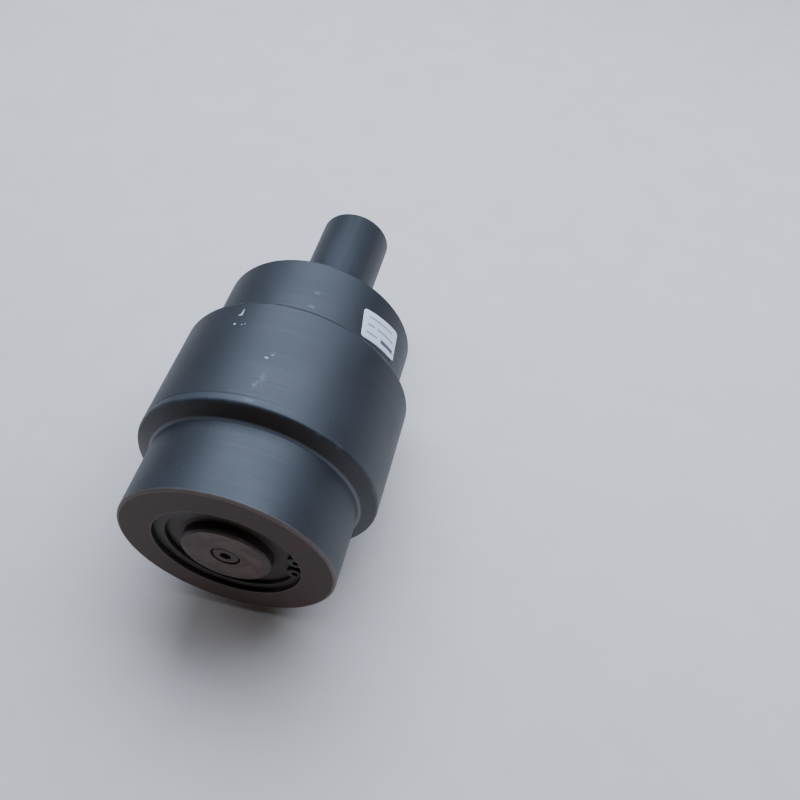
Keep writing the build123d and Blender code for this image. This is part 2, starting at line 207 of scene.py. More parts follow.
def lathe_tree():
    """Turns the points of a closed outline round the Y axis."""
    tree = geometry_tree("lathe", {"Steps round": "Int", "Finish": "Material"})
    given = add(tree, "NodeGroupInput").outputs
    outline = given["Geometry"]
    count = add(tree, "GeometryNodeAttributeDomainSize", {"Geometry": outline})
    rows = add(tree, MATH, {0: count, 1: 1.0}, operation="ADD")
    columns = add(tree, MATH, {0: given["Steps round"], 1: 1.0}, operation="ADD")
    grid = add(tree, "GeometryNodeMeshGrid", {"Vertices X": columns, "Vertices Y": rows})
    place = add(tree, "GeometryNodeInputPosition")
    on_grid = add(tree, "ShaderNodeSeparateXYZ", {0: place}).outputs
    turn = add(tree, MATH, {0: on_grid["X"], 1: 0.5}, operation="ADD")
    angle = add(tree, MATH, {0: turn, 1: math.tau}, operation="MULTIPLY")
    share = add(tree, MATH, {0: on_grid["Y"], 1: 0.5}, operation="ADD")
    exact_row = add(tree, MATH, {0: share, 1: count}, operation="MULTIPLY")
    row = add(tree, MATH, {0: exact_row}, operation="ROUND")
    index = add(tree, MATH, {0: row, 1: count}, operation="FLOORED_MODULO")
    point = add(
        tree, "GeometryNodeSampleIndex",
        {"Geometry": outline, "Value": place, "Index": index}, data_type="FLOAT_VECTOR",
    )
    edge = add(
        tree, "GeometryNodeSampleIndex",
        {
            "Geometry": outline, "Index": index,
            "Value": add(tree, "GeometryNodeInputNamedAttribute", {"Name": "edge"}),
        },
    )
    half_section = add(tree, "ShaderNodeSeparateXYZ", {0: point}).outputs
    sine = add(tree, MATH, {0: angle}, operation="SINE")
    cosine = add(tree, MATH, {0: angle}, operation="COSINE")
    sideways = add(tree, MATH, {0: half_section["Z"], 1: sine}, operation="MULTIPLY")
    upwards = add(tree, MATH, {0: half_section["Z"], 1: cosine}, operation="MULTIPLY")
    turned = add(
        tree, "ShaderNodeCombineXYZ", {"X": sideways, "Y": half_section["Y"], "Z": upwards}
    )
    marked = add(
        tree, "GeometryNodeStoreNamedAttribute", {"Geometry": grid, "Name": "edge", "Value": edge}
    )
    moved = add(tree, "GeometryNodeSetPosition", {"Geometry": marked, "Position": turned})
    merged = add(tree, "GeometryNodeMergeByDistance", {"Geometry": moved, "Distance": SNAP})
    smooth = add(tree, "GeometryNodeSetShadeSmooth", {"Geometry": merged})
    real = add(tree, "GeometryNodeRealizeInstances", {"Geometry": smooth})
    done = add(tree, "GeometryNodeSetMaterial", {"Geometry": real, "Material": given["Finish"]})
    add(tree, "NodeGroupOutput", {"Geometry": done})
    return tree


LATHE = lathe_tree()
print("lathe tree has", len(LATHE.nodes), "nodes")

# %% Run a tree and keep the plain mesh
STEPS_ROUND = 240


def show(name, mesh):
    """Puts a mesh in the scene as an object at the origin."""
    piece = bpy.data.objects.new(name, mesh)
    bpy.context.scene.collection.objects.link(piece)
    return piece


def plain_mesh(source):
    """The mesh that an object's modifiers make. The object itself is removed."""
    graph = bpy.context.evaluated_depsgraph_get()
    mesh = bpy.data.meshes.new_from_object(source.evaluated_get(graph))
    bpy.data.objects.remove(source)
    return mesh


def run_tree(tree, source, values):
    """The plain mesh that a tree makes of an object, with its inputs set by identifier."""
    modifier = source.modifiers.new(tree.name, "NODES")
    modifier.node_group = tree
    for item in tree.interface.items_tree:
        if item.in_out == "INPUT" and item.name in values:
            modifier[item.identifier] = values[item.name]
    return plain_mesh(source)


def close_and_face_out(mesh):
    """Merges a closed mesh's doubles and turns its faces outwards."""
    work = bmesh.new()
    work.from_mesh(mesh)
    bmesh.ops.remove_doubles(work, verts=work.verts, dist=SNAP)
    bmesh.ops.recalc_face_normals(work, faces=work.faces)
    if work.calc_volume(signed=True) < 0:
        bmesh.ops.reverse_faces(work, faces=work.faces)
    work.to_mesh(mesh)
    work.free()


def turned_piece(name, points, finish):
    """A piece turned from (station, radius, edge) points."""
    outline = bpy.data.meshes.new(name)
    outline.from_pydata([(0, station, radius) for station, radius, _ in points], [], [])
    edge = outline.attributes.new("edge", "FLOAT", "POINT")
    edge.data.foreach_set("value", [point[2] for point in points])
    values = {"Steps round": STEPS_ROUND, "Finish": finish}
    mesh = run_tree(LATHE, show(name + "_outline", outline), values)
    close_and_face_out(mesh)
    print(name, "has", len(mesh.polygons), "faces")
    return show(name, mesh)


# %% [markdown]
# ## What every finish shares
# Each surface here is steel, bronze, iron, rubber or paper, and each is a little uneven: its
# colour and gloss drift over a few centimetres, and the tool that made it left fine marks. On a
# turned part those marks are rings, so a noise over (station, radius) draws them: it can't
# change on the way round. Textures read Object coordinates, so they turn with their piece.

# %% Colours, and a finish that drifts and is marked
MIX = "ShaderNodeMix"
NOISE = "ShaderNodeTexNoise"
MAP_RANGE = "ShaderNodeMapRange"
# How far colour and gloss go before they drift, in mm. It was chosen.
DRIFT_WIDTH = 28.0
# Paint, rubber and paper are nearer 1.5. This was raised by trial, until the sheen of the black
# paint was strong enough, and every finish here that isn't metal shares it.
COAT_IOR = 1.65


def colour(code):
    """An sRGB hex colour as linear red, green, blue and alpha."""
    channels = [int(code[i:i + 2], 16) / 255 for i in (1, 3, 5)]
    return [c / 12.92 if c < 0.0405 else ((c + 0.055) / 1.055) ** 2.4 for c in channels] + [1.0]


def object_place(tree):
    """Object coordinates, their three parts, and the distance from the axle."""
    place = add(tree, "ShaderNodeTexCoord").outputs["Object"]
    parts = add(tree, "ShaderNodeSeparateXYZ", {0: place}).outputs
    spoke = add(tree, "ShaderNodeCombineXYZ", {"X": parts["X"], "Z": parts["Z"]})
    radius = add(tree, VECTOR_MATH, {0: spoke}, operation="LENGTH").outputs["Value"]
    return place, parts, radius


def finish(name, base, drift, metallic, roughness, spread, marks, grain):
    """A material that drifts between two colours and two roughnesses, with a bumpy surface.

    marks is the (width, depth) of the turning rings and grain that of the speckle, in mm.
    """
    material = bpy.data.materials.new(name)
    material.use_nodes = True
    tree = material.node_tree
    place, parts, radius = object_place(tree)
    section = add(tree, "ShaderNodeCombineXYZ", {"X": parts["Y"], "Y": radius})
    cloud = add(tree, NOISE, {"Vector": place, "Scale": 1 / (DRIFT_WIDTH * MM), "Detail": 5.0})
    rings = add(
        tree, NOISE, {"Vector": section, "Scale": 1 / (marks[0] * MM), "Detail": 3.0},
        noise_dimensions="2D",
    )
    speckle = add(tree, NOISE, {"Vector": place, "Scale": 1 / (grain[0] * MM), "Detail": 3.0})
    uneven = add(tree, MAP_RANGE, {"Value": cloud, "From Min": 0.35, "From Max": 0.65})
    tint = add(tree, MIX, {0: uneven, 6: colour(base), 7: colour(drift)}, data_type="RGBA")
    both = add(tree, MATH, {0: rings, 1: 0.4, 2: cloud}, operation="MULTIPLY_ADD")
    gloss = add(tree, MAP_RANGE, {
        "Value": both, "From Min": 0.5, "From Max": 0.9,
        "To Min": roughness - spread, "To Max": roughness + spread,
    })
    cut = add(tree, "ShaderNodeBump", {"Height": rings, "Distance": marks[1] * MM})
    bump = add(
        tree, "ShaderNodeBump", {"Height": speckle, "Distance": grain[1] * MM, "Normal": cut}
    )
    shader = tree.nodes["Principled BSDF"]
    shader.inputs["Metallic"].default_value = metallic
    if not metallic:
        shader.inputs["IOR"].default_value = COAT_IOR
    tree.links.new(tint.outputs[2], shader.inputs["Base Color"])
    tree.links.new(gloss.outputs[0], shader.inputs["Roughness"])
    tree.links.new(bump.outputs[0], shader.inputs["Normal"])
    return material


def cover(material, mask, code, roughness):
    """Lays a colour and a roughness over a material wherever mask is 1."""
    tree = material.node_tree
    sockets = tree.nodes["Principled BSDF"].inputs
    under = sockets["Base Color"].links[0].from_socket
    tint = add(tree, MIX, {0: mask, 6: under, 7: colour(code)}, data_type="RGBA")
    tree.links.new(tint.outputs[2], sockets["Base Color"])
    under = sockets["Roughness"].links[0].from_socket
    gloss = add(tree, MIX, {0: mask, 2: under, 3: roughness})
    tree.links.new(gloss.outputs[0], sockets["Roughness"])


print("finishes drift over", DRIFT_WIDTH, "mm")

# %% [markdown]
# ## The black paint
# The roller looks sprayed with one thin coat of satin black over forged and turned steel. Under a
# soft light it is dark where it faces nothing bright, and blue-grey in a broad sheen where it
# faces the light: that is the gloss, not the colour. The tool's rings are still felt through the
# coat. Turning usually leaves them about 0.2 mm apart, too fine to show, so they are drawn wider.
# The end plate, its ring and the plug are browner and duller than the rest. What lies under each
# coat is a maker's guess; the two colours and the gloss were then set.

# %% Satin black paint on the shell, the collar and the shaft
# The eye gets a wide, soft, blue-grey sheen that drifts a little along the sprayed shell.
shell_paint = finish(
    "satin_black_paint_on_forged_steel", "#1b1d21", "#22252a", metallic=0.0,
    roughness=0.52, spread=0.035, marks=(1.6, 0.0008), grain=(1.1, 0.003),
)
# The same paint over a sand casting: a little duller, with the sand's grain under it.
collar_paint = finish(
    "satin_black_paint_on_cast_steel", "#1b1d21", "#212429", metallic=0.0,
    roughness=0.54, spread=0.03, marks=(1.6, 0.0008), grain=(1.4, 0.008),
)
# The same paint over bar: as smooth as on the shell, a little duller, with closer rings.
shaft_paint = finish(
    "satin_black_paint_on_ground_steel", "#1b1d21", "#212429", metallic=0.0,
    roughness=0.54, spread=0.03, marks=(1.4, 0.0008), grain=(1.1, 0.003),
)

# %% Browner finishes on the end plate, the retaining ring and the plug
# A thin coat over turned steel: dull brown-black, with the lathe's rings clearly felt. Its brown
# is partly the thin coat and partly painted warm bounce light from the ground in front.
cover_paint = finish(
    "thin_black_paint_on_turned_steel", "#2a1f19", "#43342b", metallic=0.0,
    roughness=0.62, spread=0.07, marks=(1.3, 0.008), grain=(0.8, 0.01),
)
# Phosphate crystals scatter light: dark and brownish, with only a dull sheen. The brownish tint
# is partly painted warm bounce light in the recess.
ring_finish = finish(
    "phosphated_spring_steel", "#261c17", "#372a23", metallic=0.0,
    roughness=0.62, spread=0.06, marks=(1.6, 0.004), grain=(0.5, 0.006),
)
# Oil-blackened steel: as brown as the boss round it, with an uneven, dull sheen.
plug_finish = finish(
    "blackened_screw_steel", "#3a2b23", "#55433a", metallic=0.0,
    roughness=0.6, spread=0.08, marks=(0.9, 0.008), grain=(0.5, 0.008),
)
print("paints", [paint.name for paint in (shell_paint, collar_paint, shaft_paint, cover_paint)])

# %% [markdown]
# ## A painted warm bounce on the front face, and a rubbed boss
# The front face and the boss on the end plate are browner than the black beside them. On the face
# the brown is painted light: the same black paint, tinted warm where it stands for warm light
# bounced up from the ground in front. The boss may have been rubbed by hands and rags, in smears,
# and a thin coat with scale under it would look like this. Both masks are ranges along the axle,
# so they follow the CAD's stations.

# %% A painted warm bounce on the shell's front face
# How far behind the front face the painted warm bounce ends, and up to where it has its full
# strength.
BOUNCE_TINT_END, BOUNCE_TINT_FULL = 1.0 * MM, 0.4 * MM
tree = shell_paint.node_tree
_, parts, _ = object_place(tree)
painted_bounce_on_face = add(tree, MAP_RANGE, {
    "Value": parts["Y"], "From Min": front_face + BOUNCE_TINT_END, "From Max": front_face + BOUNCE_TINT_FULL,
})
# The warm brown laid on the face is painted bounce light from the ground in front.
cover(shell_paint, painted_bounce_on_face.outputs[0], "#422e27", 0.7)
print("the thin coat ends", BOUNCE_TINT_END / MM, "mm behind the front face")

# %% The boss, rubbed brown
BOSS_END, BOSS_FULL = 0.6 * MM, 0.2 * MM
# About as wide as a thumb's smear, in mm.
SMEAR_WIDTH = 11.0
boss_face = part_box("end_cover")[0].y
tree = cover_paint.node_tree
place, parts, _ = object_place(tree)
on_boss = add(tree, MAP_RANGE, {
    "Value": parts["Y"], "From Min": boss_face + BOSS_END, "From Max": boss_face + BOSS_FULL,
})
cover(cover_paint, on_boss.outputs[0], "#4a382f", 0.62)
smears = add(tree, NOISE, {
    "Vector": place, "Scale": 1 / (SMEAR_WIDTH * MM), "Detail": 6.0, "Distortion": 0.8,
})
smeared = add(tree, MAP_RANGE, {
    "Value": smears, "From Min": 0.42, "From Max": 0.62, "To Max": 0.6,
})
rubbed_boss = add(tree, MATH, {0: on_boss, 1: smeared}, operation="MULTIPLY")
cover(cover_paint, rubbed_boss.outputs[0], "#685346", 0.5)
print("the boss stands at", round(boss_face, 4))

# %% [markdown]
# ## Wear and painted highlights on the rims, and marks from making
# Rollers knock together when they are stored, and their rims rub grey; that grey is also
# lightened as a painted highlight, the thin light line a rim catches, and the front face's rim
# gets a painted highlight line. Rims are found by the edge value that the lathe tree stored. A
# faint line runs behind the flange's front rim, most likely from the lathe, with a painted
# highlight band before it, and the fillets at the flange's feet carry a painted highlight, a
# paler line where they catch the light. Dust dries into a coat: real dust is at least ten times
# finer than the specks drawn here, which stand for it. Each of these is one more layer on the
# paint, laid by the same function, so the order of the cells is the order of the layers.

# %% Worn rims, partly a painted highlight
RUB_WIDTH = 9.0  # mm


def wear_and_highlight_rims(material, amount):
    """Rubs the arcs that have an edge value, in patches, with a light grey that is partly wear
    and partly a painted highlight.
    """
    tree = material.node_tree
    place, _, _ = object_place(tree)
    edge = add(tree, "ShaderNodeAttribute", attribute_name="edge").outputs["Fac"]
    patches = add(tree, NOISE, {"Vector": place, "Scale": 1 / (RUB_WIDTH * MM), "Detail": 6.0})
    patchy = add(tree, MAP_RANGE, {
        "Value": patches, "From Min": 0.5, "From Max": 0.66, "To Max": amount,
    })
    rim_wear_and_highlight = add(tree, MATH, {0: edge, 1: patchy}, operation="MULTIPLY")
    cover(material, rim_wear_and_highlight.outputs[0], "#7d7f80", 0.45)


wear_and_highlight_rims(shell_paint, 0.14)
wear_and_highlight_rims(cover_paint, 0.3)
print("rims worn in patches of", RUB_WIDTH, "mm")

# %% The front rim, with a painted highlight line
RIM_DEPTH = 1.8 * MM
RIM_AMOUNT = 0.5
tree = shell_paint.node_tree
_, parts, _ = object_place(tree)
near_front = add(tree, MAP_RANGE, {
    "Value": parts["Y"],
    "From Min": front_face + RIM_DEPTH, "From Max": front_face + RIM_DEPTH / 2,
})
edge = add(tree, "ShaderNodeAttribute", attribute_name="edge").outputs["Fac"]
front_rim = add(tree, MATH, {0: edge, 1: near_front}, operation="MULTIPLY")
painted_rim_highlight = add(tree, MATH, {0: front_rim, 1: RIM_AMOUNT}, operation="MULTIPLY")
# The light brownish line on the face's rim is a painted highlight.
cover(shell_paint, painted_rim_highlight.outputs[0], "#85756b", 0.5)
print("the front rim is rubbed over", RIM_DEPTH / MM, "mm")

# %% A turned line behind the flange's front rim, with a painted highlight band before it
# How wide the real line is can't be told, so this is as wide as it needs to be to show.
LINE_BEHIND, LINE_WIDTH = 5.0 * MM, 0.8 * MM
FADE_REACH = 20 * MM
flange_front = min(station for station, radius in shell_outline if radius > 0.99 * flange_radius)
tree = shell_paint.node_tree
_, parts, _ = object_place(tree)
# It shows on one side of the roller and dies away towards the other.
one_side = add(
    tree, MAP_RANGE, {"Value": parts["X"], "From Min": FADE_REACH, "From Max": -FADE_REACH}
)
along = add(tree, MATH, {0: parts["Y"], 1: flange_front + LINE_BEHIND}, operation="SUBTRACT")
off_line = add(tree, MATH, {0: along}, operation="ABSOLUTE")
on_line = add(tree, MAP_RANGE, {
    "Value": off_line, "From Min": LINE_WIDTH, "From Max": 0.0, "To Max": 0.8,
})
before_line = add(tree, MAP_RANGE, {
    "Value": along, "From Min": 0.0, "From Max": -LINE_WIDTH, "To Max": 0.35,
})
on_flange = add(tree, MAP_RANGE, {
    "Value": along, "From Min": -LINE_BEHIND - LINE_WIDTH, "From Max": -LINE_BEHIND,
})
band = add(tree, MATH, {0: before_line, 1: on_flange}, operation="MULTIPLY")
painted_highlight_band = add(tree, MATH, {0: band, 1: one_side}, operation="MULTIPLY")
dark_line = add(tree, MATH, {0: on_line, 1: one_side}, operation="MULTIPLY")
# The lighter band before the line is a painted highlight, a sheen on the flange's rim.
cover(shell_paint, painted_highlight_band.outputs[0], "#454b52", 0.48)
cover(shell_paint, dark_line.outputs[0], "#0f1012", 0.75)
line_depth = round((flange_front + LINE_BEHIND - front_face) / MM, 1)
print("the line lies", line_depth, "mm from the front")

# %% A painted highlight in the fillets at the flange's feet
# Heights over the tread between which the painted highlight grows to its full strength and dies
# away.
HIGHLIGHT_START, HIGHLIGHT_FULL, HIGHLIGHT_FADE, HIGHLIGHT_END = 0.1 * MM, 0.5 * MM, 1.1 * MM, 2.0 * MM
tree = shell_paint.node_tree
_, parts, radius = object_place(tree)
into_fillet = add(tree, MAP_RANGE, {
    "Value": radius, "From Min": tread_radius + HIGHLIGHT_START, "From Max": tread_radius + HIGHLIGHT_FULL,
})
out_of_fillet = add(tree, MAP_RANGE, {
    "Value": radius, "From Min": tread_radius + HIGHLIGHT_END, "From Max": tread_radius + HIGHLIGHT_FADE,
})
painted_fillet_highlight = add(tree, MATH, {0: into_fillet, 1: out_of_fillet}, operation="MULTIPLY")
# A painted highlight: the fillets are paler where they catch the light.
cover(shell_paint, painted_fillet_highlight.outputs[0], "#5b6168", 0.42)
print("paint pools up to", HIGHLIGHT_END / MM, "mm above the tread")

# %% Dust specks and hairline scratches
DUST_SIZE = 1.5  # mm
# A noise squeezed along the axle has cells 1.4 mm wide that run 11 mm round the axle. Real
# hairlines are finer, and would not show.
SCRATCH_SCALE = 10.0
SCRATCH_SQUEEZE = (9.0, 70.0, 9.0)


def weather(material, dust, scratches):
    """Scatters faint specks over a paint, and fine scratches that run round the axle."""
    tree = material.node_tree
    place, _, _ = object_place(tree)
    specks = add(tree, NOISE, {"Vector": place, "Scale": 1 / (DUST_SIZE * MM), "Detail": 1.0})
    dusty = add(tree, MAP_RANGE, {
        "Value": specks, "From Min": 0.66, "From Max": 0.78, "To Max": dust,
    })
    cover(material, dusty.outputs[0], "#6f757b", 0.7)
    # Only the noise's highest crests are kept.
    streaks = add(tree, VECTOR_MATH, {0: place, 1: SCRATCH_SQUEEZE}, operation="MULTIPLY")
    hair = add(tree, NOISE, {
        "Vector": streaks, "Scale": SCRATCH_SCALE, "Detail": 5.0, "Distortion": 0.3,
    })
    fine = add(tree, MAP_RANGE, {
        "Value": hair, "From Min": 0.64, "From Max": 0.74, "To Max": scratches,
    })
    cover(material, fine.outputs[0], "#5d6267", 0.45)


weather(shell_paint, dust=0.10, scratches=0.07)
weather(shaft_paint, dust=0.08, scratches=0.06)
print("dust specks", DUST_SIZE, "mm")

# %% [markdown]
# ## Chips, scuffs and pits
# The flange has a few white chips, most likely down to primer, some pale scuffs and a few black
# pits. An image could carry them, but then they would have a fixed resolution; here each mark
# is a point in space with a size, and a noise tears its outline. The marks at 200 degrees and
# more are invented, so that the far side isn't bare; the others were placed like the real ones.

# %% A layer of small ragged marks
TEAR_WIDTH = 1.6  # mm
# How far out a mark reaches, in half sizes, before the noise moves its outline.
MARK_REACH = 1.05


def blots(material, spots, code, roughness, raggedness, softness, strength):
    """Lays small ragged marks over a material.

    A spot is its distance from the front face, its angle from +X towards +Z in degrees, its
    distance from the axle, and its sizes along and round the axle, in mm.
    """
    tree = material.node_tree
    place, _, _ = object_place(tree)
    ragged = add(tree, NOISE, {"Vector": place, "Scale": 1 / (TEAR_WIDTH * MM), "Detail": 4.0})
    outline = 0.5 * raggedness + MARK_REACH
    total = None
    for station, angle, out, along, round_axle in spots:
        turn = math.radians(angle)
        middle = (out * MM * math.cos(turn), front_face + station * MM, out * MM * math.sin(turn))
        away = add(tree, VECTOR_MATH, {0: place, 1: middle}, operation="SUBTRACT")
        sizes = (2 / (round_axle * MM), 2 / (along * MM), 2 / (round_axle * MM))
        scaled = add(tree, VECTOR_MATH, {0: away, 1: sizes}, operation="MULTIPLY")
        distance = add(tree, VECTOR_MATH, {0: scaled}, operation="LENGTH")
        torn = add(
            tree, MATH, {0: ragged, 1: raggedness, 2: distance.outputs["Value"]},
            operation="MULTIPLY_ADD",
        )
        spot = add(tree, MAP_RANGE, {
            "Value": torn, "From Min": outline, "From Max": outline - softness,
            "To Max": strength,
        })
        total = add(tree, MATH, {0: total, 1: spot}, operation="MAXIMUM") if total else spot
    cover(material, total.outputs[0], code, roughness)


print("outlines of marks are torn over", TEAR_WIDTH, "mm")

# %% Where the marks are
CHIPS = [
    (107.9, 107.4, 70, 1.0, 2.6), (110.6, 106.8, 70, 3.6, 0.7), (108.9, 106.9, 70, 1.6, 1.3),
    (101.1, 108.1, 70, 1.3, 1.4), (100.3, 104.3, 70, 0.7, 0.9), (100.9, 102.9, 70, 0.5, 0.8),
    (79.3, 86.4, 70, 1.0, 2.4), (81.6, 84.6, 70, 0.6, 0.6), (127.6, 16.4, 60, 1.6, 1.2),
    (126.0, 17.6, 60, 0.8, 0.8), (62.0, 205.0, 70, 1.2, 2.6), (95.0, 318.0, 70, 2.2, 1.1),
]
SCUFFS = [
    (65.7, 84.5, 70, 8.0, 3.4), (60.5, 86.4, 70, 5.0, 3.0), (51.0, 86.0, 70, 3.6, 8.0),
    (130.6, 78.7, 60, 2.4, 5.5), (141.7, 78.2, 60, 2.6, 4.5), (82.5, 84.0, 70, 3.6, 1.2),
    (30.0, 228.0, 60, 16.0, 3.0), (88.0, 262.0, 70, 5.0, 14.0),
]
PITS = [(48.6, 103.8, 70, 1.0, 1.0), (117.0, 107.1, 70, 1.2, 2.0), (72.0, 300.0, 70, 1.0, 1.4)]
blots(shell_paint, SCUFFS, "#767d84", 0.6, raggedness=3.4, softness=0.75, strength=0.45)
blots(shell_paint, CHIPS, "#d8dde2", 0.6, raggedness=1.1, softness=0.3, strength=1.0)
blots(shell_paint, PITS, "#0b0b0c", 0.8, raggedness=1.0, softness=0.3, strength=1.0)
print("chips", len(CHIPS), "scuffs", len(SCUFFS), "pits", len(PITS))

# %% [markdown]
# ## The shell and the end plate
# Both are turned pieces, so the lathe tree makes them from their own CAD outlines. The forged
# shell is soft outside, has a fillet at each foot of the flange's cones, and is crisp inside,
# where it is bored. The end plate drops in behind a retaining ring and carries the filler plug.

# %% The shell, turned
FOOT_TURN = math.radians(50)
FOOT_ROUND, FORGED_ROUND, BORED_ROUND, PLATE_ROUND = 2.2 * MM, 1.6 * MM, 0.3 * MM, 0.5 * MM
# Inside this radius the shell is bored, and up to this one a sharp turn is a flange's foot.
BORED_WITHIN = 0.9 * tread_radius
FOOT_WITHIN = 1.02 * tread_radius


def shell_corner(corner, turn):
    """How round a corner of the shell's outline is."""
    if corner[1] < BORED_WITHIN:
        return BORED_ROUND
    at_foot = abs(turn) > FOOT_TURN and corner[1] < FOOT_WITHIN
    return FOOT_ROUND if at_foot else FORGED_ROUND


shell = turned_piece("roller_shell", rounded(shell_outline, shell_corner), shell_paint)
plate_points = rounded(cover_outline, lambda *_: PLATE_ROUND)
cover_plate = turned_piece("end_plate", plate_points, cover_paint)

# %% [markdown]
# ## The pieces that are not plainly turned
# The shaft has drilled ends, the collar a cross pin, the retaining ring a gap with eyed lugs and
# the plug a hexagon socket. A lathe can't make those, so each is a copy of its CAD mesh with a
# narrow bevel on every real corner. The bevel's hardened normals keep flat faces looking flat.

# %% Softened copies of the pieces with holes and slots
BEVEL_STEPS = 3


def softened(name, node, width, material):
    """A merged, bevelled copy of a CAD node."""
    source = show(name + "_cad", frame["nodes"][node].data.copy())
    close_and_face_out(source.data)
    bevel = source.modifiers.new("soften", "BEVEL")
    bevel.width = width
    bevel.segments = BEVEL_STEPS
    bevel.limit_method = "ANGLE"
    bevel.angle_limit = GENTLE
    bevel.harden_normals = True
    source.data.materials.clear()
    source.data.materials.append(material)
    mesh = plain_mesh(source)
    print(name, "has", len(mesh.polygons), "faces")
    return show(name, mesh)


shaft = softened("fixed_shaft_bar", "shaft", 0.5 * MM, shaft_paint)
collar = softened("seal_cup", "seal_collar", 0.5 * MM, collar_paint)
circlip = softened("inner_circlip", "retaining_ring", 0.2 * MM, ring_finish)
plug = softened("filler_plug", "oil_plug", 0.15 * MM, plug_finish)

# %% [markdown]
# ## The label
# A white sticker lies on the rear tread beside the flange, a little askew. It is a thin sheet
# bent round the tread, so it is laid out flat in its own millimetres, with rounded corners, and
# then wrapped. One corner has begun to lift. Where a maker prints words, it has plain bars.

# %% Wrap the sheet round the tread
LABEL_LONG = 31 * MM
LABEL_HIGH = 20 * MM
LABEL_ROUND = 2.2 * MM
LABEL_THICK = 0.2 * MM
LABEL_TILT = math.radians(11)
# One corner rises this far, over the last part of the way from the sheet's middle to it.
LABEL_LIFT = 0.7 * MM
LIFT_START = 0.72
LONG_STEPS, HIGH_STEPS = 48, 20

label_cad = frame["nodes"]["label"].data.vertices
turns = [math.atan2(vert.co.z, vert.co.x) for vert in label_cad]
label_turn = (min(turns) + max(turns)) / 2
label_station = sum(corner.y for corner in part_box("label")) / 2


def half_height(a):
    """Half the sheet's height at a distance a from its middle."""
    into_corner = max(abs(a) - (LABEL_LONG / 2 - LABEL_ROUND), 0.0)
    return LABEL_HIGH / 2 - LABEL_ROUND + math.sqrt(max(LABEL_ROUND**2 - into_corner**2, 0.0))


def wrapped(a, b, height):
    """The point at (a, b) on the flat sheet, at a height over the tread."""
    lifted = max((a / LABEL_LONG - b / LABEL_HIGH) - LIFT_START, 0.0) / (1 - LIFT_START)
    out = tread_radius + height + LABEL_LIFT * lifted**2
    arc = a * math.cos(LABEL_TILT) - b * math.sin(LABEL_TILT)
    along = a * math.sin(LABEL_TILT) + b * math.cos(LABEL_TILT)
    turn = label_turn - arc / tread_radius
    return out * math.cos(turn), label_station + along, out * math.sin(turn)


sheet = bmesh.new()
on_sheet = sheet.loops.layers.uv.new("sheet")
flat, layers = {}, []
for height in (0.0, LABEL_THICK):
    rows = []
    for i in range(LONG_STEPS + 1):
        # Steps crowd together towards both ends, where the corners are round.
        a = -LABEL_LONG / 2 * math.cos(math.pi * i / LONG_STEPS)
        row = []
        for j in range(HIGH_STEPS + 1):
            b = half_height(a) * (2 * j / HIGH_STEPS - 1)
            vert = sheet.verts.new(wrapped(a, b, height))
            flat[vert] = (a / LABEL_LONG + 0.5, b / LABEL_HIGH + 0.5)
            row.append(vert)
        rows.append(row)
    layers.append(rows)
for rows in layers:
    for i in range(LONG_STEPS):
        for j in range(HIGH_STEPS):
            sheet.faces.new((rows[i][j], rows[i + 1][j], rows[i + 1][j + 1], rows[i][j + 1]))
rims = [
    rows[0] + [row[-1] for row in rows[1:]] + rows[-1][-2::-1] + [row[0] for row in rows[-2:0:-1]]
    for rows in layers
]
for i in range(len(rims[0])):
    sheet.faces.new((rims[0][i - 1], rims[0][i], rims[1][i], rims[1][i - 1]))
for face in sheet.faces:
    face.smooth = True
    for loop in face.loops:
        loop[on_sheet].uv = flat[loop.vert]
label_mesh = bpy.data.meshes.new("blank_label")
sheet.to_mesh(label_mesh)
sheet.free()
close_and_face_out(label_mesh)
label = show("blank_label", label_mesh)
label_degrees = round(math.degrees(label_turn), 1)
print("label at", label_degrees, "degrees,", len(label_mesh.polygons), "faces")

# %% White paper with plain printed bars
INK_SPREAD = 0.01
PAPER_BARS = [
    # (from, to) along the sheet, its middle height and half height, and how dark it prints
    (0.13, 0.80, 0.80, 0.026, 0.62), (0.12, 0.30, 0.53, 0.03, 0.62),
    (0.37, 0.88, 0.53, 0.03, 0.62), (0.10, 0.40, 0.25, 0.03, 0.62),
    (0.50, 0.92, 0.24, 0.065, 0.92),
]
# Coated paper: a bright, cool white, the lightest thing on the roller, with an even, dull gloss.
label_paper = finish(
    "coated_white_paper", "#f7fbff", "#eff5fc", metallic=0.0,
    roughness=0.5, spread=0.04, marks=(3.0, 0.001), grain=(0.4, 0.003),
)
tree = label_paper.node_tree
uv = add(tree, "ShaderNodeUVMap", uv_map="sheet")
flat_place = add(tree, "ShaderNodeSeparateXYZ", {0: uv}).outputs
ink = None
for start, end, middle, half, dark in PAPER_BARS:
    sides = []
    for value, centre, reach in (
        (flat_place["X"], (start + end) / 2, (end - start) / 2), (flat_place["Y"], middle, half)
    ):
        off = add(tree, MATH, {0: value, 1: centre}, operation="SUBTRACT")
        away = add(tree, MATH, {0: off}, operation="ABSOLUTE")
        sides.append(add(tree, MAP_RANGE, {
            "Value": away, "From Min": reach + INK_SPREAD, "From Max": reach - INK_SPREAD,
        }))
    bar = add(tree, MATH, {0: sides[0], 1: sides[1]}, operation="MULTIPLY")
    inked = add(tree, MATH, {0: bar, 1: dark}, operation="MULTIPLY")
    ink = add(tree, MATH, {0: ink, 1: inked}, operation="MAXIMUM") if ink else inked
cover(label_paper, ink.outputs[0], "#1f2733", 0.45)
label_mesh.materials.append(label_paper)

# %% [markdown]
# ## Handing the pieces over
# Seven CAD nodes show on the closed roller, and each now has a finer piece to stand for it. The
# new piece rides on the same body as its node, so the shell still turns and the shaft stays.

# %% Let the new pieces stand for the CAD nodes
node_slots = {part["node"]: part["material_slot"] for part in frame["record"]["subparts"]}
node_bodies = {
    node: body
    for body, nodes in frame["record"]["behaviour"]["bodies"].items()
    for node in nodes
}


